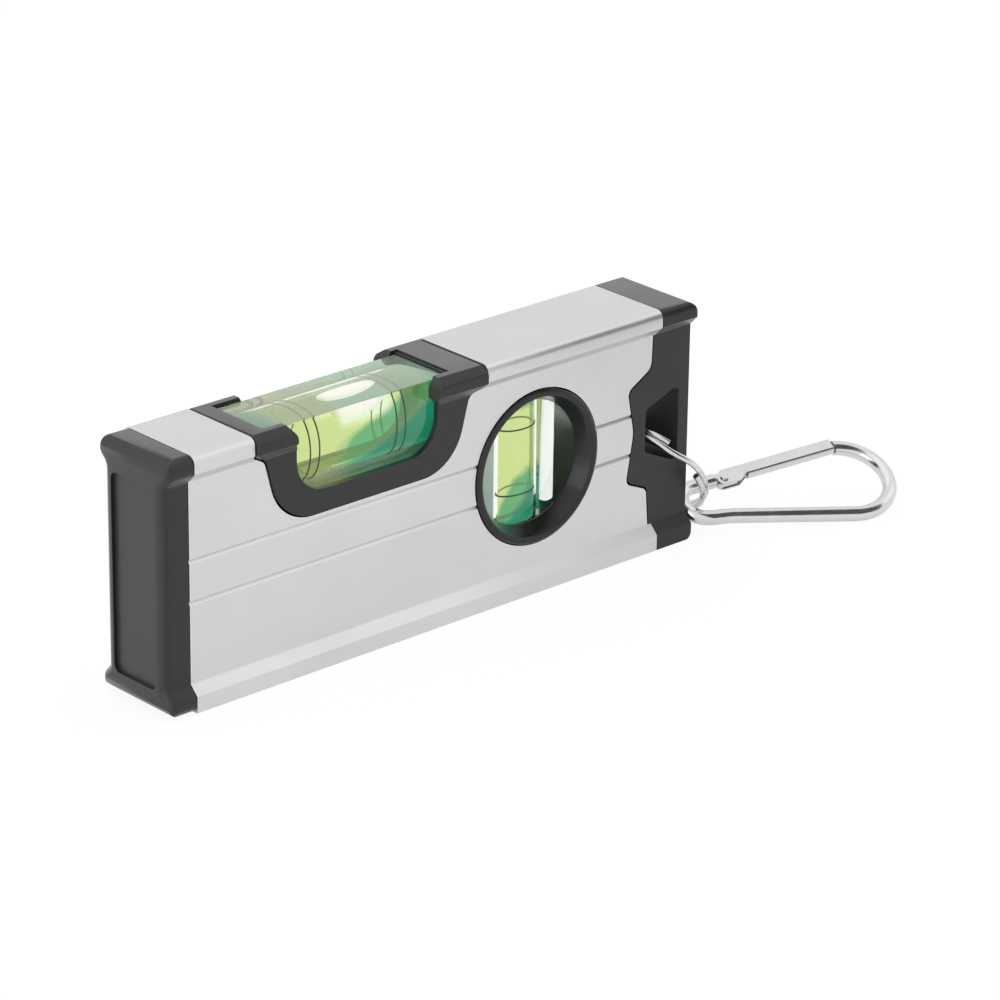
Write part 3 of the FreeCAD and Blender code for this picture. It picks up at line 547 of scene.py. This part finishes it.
def ink():
    """Printed black lines with a slightly uneven gloss."""
    material, tree, shader = new_material("black_ink")
    clouds = noise(tree, INK_CLOUDS, detail=2.0)
    fill(tree, shader, {
        "Base Color": mix_colours(tree, clouds, *INK_SHADES),
        "Roughness": spread(tree, clouds, 0.45, 0.6),
    })
    return material


def plated(name, base_colour, roughness, along_lines=ALONG_WIRE_LINES):
    """Bright nickel plate with faint drawing lines and small cloudy patches."""
    material, tree, shader = new_material(name)
    clouds = noise(tree, PLATE_CLOUDS, detail=3.0)
    lines = noise(tree, (along_lines, ACROSS_LINES, ACROSS_LINES), detail=2.0)
    fill(tree, shader, {
        "Base Color": mix_colours(
            tree, spread(tree, clouds), colour(base_colour, tone=0.93), colour(base_colour)),
        "Metallic": 1.0,
        "Roughness": spread(tree, clouds, roughness - 0.03, roughness + 0.05),
        "Normal": bump(tree, lines, strength=0.08, distance=0.01 * MM),
    })
    return material


def smooth(mesh, angle):
    """Smooth shading that keeps edges sharper than an angle in degrees."""
    mesh.shade_smooth()
    mesh.set_sharp_from_angle(angle=math.radians(angle))


def finish_piece(piece, body, slot, material, *nodes):
    """Gives a piece its material and sets it on its body, in place of the solids it shows."""
    piece.data.materials.clear()
    piece.data.materials.append(material)
    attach(piece, body)
    if nodes:
        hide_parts(*nodes)


def dressed(node, material, angle=SOLID_EDGE):
    """A solid's own form with its faces joined up and smoothed, in its finish."""
    source = frame["nodes"][node]
    mesh = source.data.copy()
    form = bmesh.new()
    form.from_mesh(mesh)
    bmesh.ops.remove_doubles(form, verts=form.verts, dist=0.0005 * MM)
    form.to_mesh(mesh)
    form.free()
    if mesh.has_custom_normals:
        mesh.attributes.remove(mesh.attributes["custom_normal"])
    smooth(mesh, angle)
    piece = bpy.data.objects.new(node + "_form", mesh)
    bpy.context.scene.collection.objects.link(piece)
    finish_piece(piece, source["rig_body"], SLOTS[node], material, node)


def new_piece(name, form):
    """Object made of a form, with its faces turned outward."""
    mesh = bpy.data.meshes.new(name)
    bmesh.ops.recalc_face_normals(form, faces=form.faces)
    form.to_mesh(mesh)
    form.free()
    piece = bpy.data.objects.new(name, mesh)
    bpy.context.scene.collection.objects.link(piece)
    return piece


def rounded_block(name, low, high, radius):
    """Block between two corners, with rounded edges."""
    form = bmesh.new()
    bmesh.ops.create_cube(form, size=1.0)
    size = high - low
    middle = (high + low) / 2
    for vertex in form.verts:
        vertex.co = size * vertex.co + middle
    bmesh.ops.bevel(
        form, geom=form.edges[:], offset=radius, segments=3, affect="EDGES", profile=0.5)
    piece = new_piece(name, form)
    smooth(piece.data, BLOCK_EDGE)
    return piece


def turned(name, profile, start, axis, segments=96):
    """Closed form turned round an axis from (radius, distance) pairs."""
    form = bmesh.new()
    turn = Vector((0, 0, 1)).rotation_difference(axis).to_matrix()
    rings = []
    for radius, distance in profile:
        ring = []
        for i in range(segments if radius else 1):
            angle = 2 * math.pi * i / segments
            spoke = Vector((radius * math.cos(angle), radius * math.sin(angle), distance))
            ring.append(form.verts.new(start + turn @ spoke))
        rings.append(ring)
    for first, second in zip(rings, rings[1:]):
        for i in range(segments):
            j = (i + 1) % segments
            corners = [
                first[i % len(first)], first[j % len(first)],
                second[j % len(second)], second[i % len(second)]]
            form.faces.new(list(dict.fromkeys(corners)))
    piece = new_piece(name, form)
    smooth(piece.data, TURNED_EDGE)
    return piece


def barrel(radius, length, swell, rounding, arc_steps=4, side_steps=16):
    """Profile of a vial's bore: widest at its middle, with rounded ends."""
    start = []
    for i in range(arc_steps + 1):
        angle = math.pi / 2 * i / arc_steps
        start.append((radius - swell - rounding * (1 - math.sin(angle)),
                      rounding * (1 - math.cos(angle))))
    side = []
    for i in range(1, side_steps):
        part = i / side_steps
        side.append((radius - swell * (2 * part - 1) ** 2,
                     rounding + part * (length - 2 * rounding)))
    end = [(width, length - distance) for width, distance in reversed(start)]
    return [(0, 0), *start, *side, *end, (0, length)]


def lying_bubble(name, centre, half_length, half_width, height, axis_z, bore):
    """Bubble pressed flat against the roof of a lying bore."""
    form = bmesh.new()
    bmesh.ops.create_uvsphere(form, u_segments=48, v_segments=32, radius=1.0)
    for vertex in form.verts:
        point = centre + Vector((half_length, half_width, height)) * vertex.co
        across = Vector((0, point.y, point.z - axis_z))
        if across.length > bore:
            across *= bore / across.length
        vertex.co = Vector((point.x, across.y, axis_z + across.z))
    piece = new_piece(name, form)
    smooth(piece.data, NO_EDGE)
    return piece


class POCKETLEVEL_OT_body(bpy.types.Operator):
    """Finish the extruded body and its base magnets"""

    bl_idname = "pocket_level.body"
    bl_label = "Body"

    def execute(self, context):
        dressed("body_extrusion", aluminium())
        dressed("base_magnets", plated(
            "magnet_plate", MAGNET_COLOUR, roughness=0.32, along_lines=ALONG_MAGNET_LINES))
        return {"FINISHED"}


class POCKETLEVEL_OT_caps(bpy.types.Operator):
    """Finish the two end caps"""

    bl_idname = "pocket_level.caps"
    bl_label = "End caps"

    def execute(self, context):
        material = black_plastic("grained_black_plastic", settings().plastic_roughness)
        for node in ("left_end_cap", "right_end_cap"):
            dressed(node, material)
        return {"FINISHED"}


class POCKETLEVEL_OT_holders(bpy.types.Operator):
    """Finish the saddle of the top vial and the bezels of the plumb vial"""

    bl_idname = "pocket_level.holders"
    bl_label = "Saddle and bezels"

    def execute(self, context):
        s = settings()
        dressed("top_vial_housing", black_plastic("saddle_plastic", s.plastic_roughness))
        # The two bezels are one plastic: the front's reflection is turned down as painted shade,
        # the rear's turned up as a painted reflection
        dressed("plumb_bezel_front", black_plastic("bezel_plastic_painted_shade", s.bezel_roughness, gloss=0.36))
        dressed("plumb_bezel_rear", black_plastic("bezel_plastic_painted_reflection", s.bezel_roughness, gloss=1.0))
        return {"FINISHED"}


class POCKETLEVEL_OT_top_vial(bpy.types.Operator):
    """Make the top vial's clear block, liquid and bubble, and finish its lines"""

    bl_idname = "pocket_level.top_vial"
    bl_label = "Top vial"

    def execute(self, context):
        s = settings()
        low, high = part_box("top_vial_block")
        block = rounded_block("top_vial_clear_block", low, high, TOP_BLOCK_ROUNDING)
        material = acrylic(
            "acrylic_painted_top_light",
            Patch("Z", low.z, s.frosted_colour, clearness=0.0, roughness=0.6, glow=0.0),
            # Upper face: pale painted light
            Patch("Z", high.z, s.top_painted_light, clearness=0.70, roughness=0.01, glow=0.0))
        finish_piece(
            block, "level_body", "clear_acrylic", material, "top_vial_block", "top_vial_plug")
        bubble_middle = (low.x + high.x) / 2 + s.bubble_shift

        low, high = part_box("top_vial_liquid")
        radius = (high.y - low.y) / 2
        axis_z = low.z + radius
        filling = turned(
            "top_vial_filling",
            barrel(radius, high.x - low.x, TOP_BORE_SWELL, TOP_BORE_ROUNDING),
            Vector((low.x, 0, axis_z)), Vector((1, 0, 0)))
        half = (high.x - low.x) / 2
        clear = Stretch(
            middle=(bubble_middle - low.x) / half - 1, half=CLEAR_HALF_LENGTH / half, level=0.45)
        material = liquid(
            "top_liquid", Span("X", low.x, high.x), Span("Z", axis_z - radius, axis_z + radius),
            lean=0.95, fall=-0.65, shade_from=0.40, end_shade_from=0.84, clear_over=clear)
        finish_piece(filling, "level_body", "green_liquid", material, "top_vial_liquid")

        bubble = lying_bubble(
            "top_vial_bubble", Vector((bubble_middle, 0, axis_z + radius)),
            half_length=BUBBLE_HALF_LENGTH, half_width=s.bubble_width, height=s.bubble_height,
            axis_z=axis_z, bore=radius - BUBBLE_GAP)
        finish_piece(bubble, "level_body", "clear_acrylic", air())
        dressed("top_vial_rings", ink())
        return {"FINISHED"}


class POCKETLEVEL_OT_plumb_vial(bpy.types.Operator):
    """Make the plumb vial's clear block and liquid, and finish its lines"""

    bl_idname = "pocket_level.plumb_vial"
    bl_label = "Plumb vial"

    def execute(self, context):
        s = settings()
        low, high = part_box("plumb_vial_block")
        high.x -= s.plumb_draft
        block = rounded_block("plumb_vial_clear_block", low, high, PLUMB_BLOCK_ROUNDING)
        material = acrylic(
            "clear_acrylic",
            # Left side: pale dull face with a painted glow
            Patch("X", low.x, s.side_painted_light, clearness=0.15, roughness=0.3, glow=0.45))
        finish_piece(
            block, "level_body", "clear_acrylic", material, "plumb_vial_block", "plumb_vial_plug")

        low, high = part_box("plumb_vial_liquid")
        filling = turned(
            "plumb_vial_filling",
            barrel((high.x - low.x) / 2, high.z - low.z, PLUMB_BORE_SWELL, PLUMB_BORE_ROUNDING),
            Vector(((low.x + high.x) / 2, 0, low.z)), Vector((0, 0, 1)))
        material = liquid(
            "plumb_liquid", Span("Z", low.z, high.z), Span("X", low.x, high.x),
            lean=-1.2, fall=0.45, shade_from=0.62, end_shade_from=0.86)
        finish_piece(filling, "level_body", "green_liquid", material, "plumb_vial_liquid")
        dressed("plumb_vial_rings", ink())
        return {"FINISHED"}


class POCKETLEVEL_OT_hanger(bpy.types.Operator):
    """Finish the split ring, the snap hook, its gate, rivet and spring"""

    bl_idname = "pocket_level.hanger"
    bl_label = "Ring and hook"

    def execute(self, context):
        s = settings()
        wire = plated("plated_wire", s.wire_colour, roughness=s.wire_roughness)
        for node in ("split_ring", "snap_hook"):
            dressed(node, wire, WIRE_EDGE)
        sheet = plated("plated_sheet", s.wire_colour, roughness=s.wire_roughness + 0.06)
        for node in ("hook_gate", "gate_rivet"):
            dressed(node, sheet)
        dressed("gate_spring", plated("spring_steel", SPRING_COLOUR, roughness=0.3))
        return {"FINISHED"}


def light(name, place, target, side, power):
    """Square area light at a place, turned toward a target."""
    lamp = bpy.data.lights.new(name, "AREA")
    lamp.size = side
    lamp.energy = power
    holder = bpy.data.objects.new(name, lamp)
    holder.location = place
    holder.rotation_euler = (target - place).to_track_quat("-Z", "Y").to_euler()
    bpy.context.scene.collection.objects.link(holder)


def by_ray(tree, eye, mirror, other):
    """One value for rays from the camera or clear glass, one for mirrors, one for the rest."""
    path = add(tree, "ShaderNodeLightPath").outputs
    seen = calculate(tree, "MAXIMUM", path["Is Camera Ray"], path["Is Transmission Ray"])
    unseen = fade(tree, path["Is Glossy Ray"], other, mirror)
    return fade(tree, seen, unseen, eye)


def flat_square(name, side, material):
    """Level square round the origin, in its material."""
    form = bmesh.new()
    bmesh.ops.create_grid(form, x_segments=1, y_segments=1, size=side / 2)
    square = new_piece(name, form)
    square.data.materials.append(material)
    return square


def floor_material():
    """Pale floor that shows white and keeps the object's shadow."""
    material = bpy.data.materials.new("pale_floor")
    tree = empty_tree(material)
    shade = by_ray(tree, eye=0.14, mirror=0.80, other=0.80)
    grey = add(tree, "ShaderNodeCombineColor", {"Red": shade, "Green": shade, "Blue": shade})
    plain = add(tree, "ShaderNodeBsdfDiffuse", {"Color": grey.outputs["Color"]})
    glow = add(tree, "ShaderNodeEmission", {
        "Color": WHITE, "Strength": by_ray(tree, eye=0.90, mirror=0.34, other=0.0)})
    both = add(tree, "ShaderNodeAddShader", {0: plain.outputs[0], 1: glow.outputs[0]})
    add(tree, "ShaderNodeOutputMaterial", {"Surface": both.outputs[0]})
    return material


def pale_room(soft, mirrored):
    """World that is white to the eye and soft on the object."""
    world = bpy.data.worlds.new("pale_room")
    bpy.context.scene.world = world
    tree = empty_tree(world)
    strength = by_ray(tree, eye=1.0, mirror=mirrored, other=soft)
    white = add(tree, "ShaderNodeBackground", {"Color": WHITE, "Strength": strength})
    add(tree, "ShaderNodeOutputWorld", {"Surface": white.outputs[0]})


def dark_card(place, target, side, reach):
    """Dark card that only shows as a reflection in shiny metal within its reach."""
    material = bpy.data.materials.new("dark_card")
    tree = empty_tree(material)
    dark = add(tree, "ShaderNodeBsdfDiffuse", {"Color": DARK_CARD})
    nothing = add(tree, "ShaderNodeBsdfTransparent")
    travelled = add(tree, "ShaderNodeLightPath").outputs["Ray Length"]
    chosen = add(tree, "ShaderNodeMixShader", {
        "Fac": ramp(tree, travelled, reach * 0.8, reach),
        1: dark.outputs[0],
        2: nothing.outputs[0]})
    add(tree, "ShaderNodeOutputMaterial", {"Surface": chosen.outputs[0]})
    card = flat_square("dark_card", side, material)
    card.location = place
    card.rotation_euler = (target - place).to_track_quat("Z", "Y").to_euler()
    card.visible_camera = False
    card.visible_diffuse = False
    card.visible_transmission = False
    card.visible_shadow = False


class POCKETLEVEL_OT_stage(bpy.types.Operator):
    """Set up the floor, the room, the lights and the camera"""

    bl_idname = "pocket_level.stage"
    bl_label = "Stage"

    # Where the camera stands and looks, with its lens and sensor in millimetres
    azimuth = math.radians(-42.4919)
    elevation = math.radians(22.6059)
    roll = math.radians(0.7923)
    eye = Vector((-431.537, -491.633, 290.691)) * MM
    lens = 169.56
    sensor = 36.0

    # The level's middle, the lamps' places and the way from the hook to the dark card
    middle = Vector((0.0, 0.0, 0.02))
    overhead = Vector((-0.1, 0.25, 0.9))
    left = Vector((-0.9, -0.1, 0.35))
    front = Vector((0.62, -0.36, 0.68))
    toward_card = Vector((0.1, -0.73, 0.67))

    # How far the floor lies below the base, so that the two faces don't meet
    floor_drop = 0.02 * MM

    def execute(self, context):
        s = settings()
        floor = flat_square("pale_floor", s.floor_size, floor_material())
        floor.location.z = -self.floor_drop
        pale_room(s.room_light, s.mirror_light)
        light("overhead_light", self.overhead, self.middle, side=0.9, power=s.top_light)
        light("left_light", self.left, self.middle, side=0.6, power=s.side_light)
        light("front_light", self.front, self.middle, side=0.7, power=s.front_light)
        low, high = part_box("snap_hook")
        hook = (low + high) / 2
        dark_card(hook + self.toward_card * s.card_distance, hook, s.card_size, s.card_reach)
        self.camera()
        bpy.context.scene.view_settings.view_transform = "Standard"
        return {"FINISHED"}

    def camera(self):
        """Camera at its eye, looking along its azimuth and elevation with a slight roll."""
        back = Vector((
            math.sin(self.azimuth) * math.cos(self.elevation),
            -math.cos(self.azimuth) * math.cos(self.elevation),
            math.sin(self.elevation)))
        level = Vector((math.cos(self.azimuth), math.sin(self.azimuth), 0))
        upright = back.cross(level)
        right = math.cos(self.roll) * level + math.sin(self.roll) * upright
        above = -math.sin(self.roll) * level + math.cos(self.roll) * upright
        turn = Matrix((right, above, back)).transposed().to_4x4()
        data = bpy.data.cameras.new("camera")
        data.lens = self.lens
        data.sensor_width = self.sensor
        data.clip_start = 0.05
        data.clip_end = 50.0
        camera = bpy.data.objects.new("camera", data)
        camera.matrix_world = Matrix.Translation(self.eye) @ turn
        bpy.context.scene.collection.objects.link(camera)
        bpy.context.scene.camera = camera


class POCKETLEVEL_PT_panel(bpy.types.Panel):
    """Buttons and settings of the pocket level"""

    bl_label = "Pocket Level"
    bl_idname = "POCKETLEVEL_PT_panel"
    bl_space_type = "VIEW_3D"
    bl_region_type = "UI"
    bl_category = "Pocket Level"

    def draw(self, context):
        for name in PocketLevelSettings.__annotations__:
            self.layout.prop(settings(), name)
        for operator in OPERATORS:
            self.layout.operator(operator.bl_idname)


OPERATORS = (
    POCKETLEVEL_OT_body,
    POCKETLEVEL_OT_caps,
    POCKETLEVEL_OT_holders,
    POCKETLEVEL_OT_top_vial,
    POCKETLEVEL_OT_plumb_vial,
    POCKETLEVEL_OT_hanger,
    POCKETLEVEL_OT_stage,
)
CLASSES = (PocketLevelSettings, *OPERATORS, POCKETLEVEL_PT_panel)


def register():
    for item in CLASSES:
        bpy.utils.register_class(item)
    bpy.types.Scene.pocket_level = PointerProperty(type=PocketLevelSettings)


def unregister():
    del bpy.types.Scene.pocket_level
    for item in reversed(CLASSES):
        bpy.utils.unregister_class(item)


def main():
    register()
    for operator in OPERATORS:
        group, name = operator.bl_idname.split(".")
        getattr(getattr(bpy.ops, group), name)()


if __name__ == "__main__":
    main()
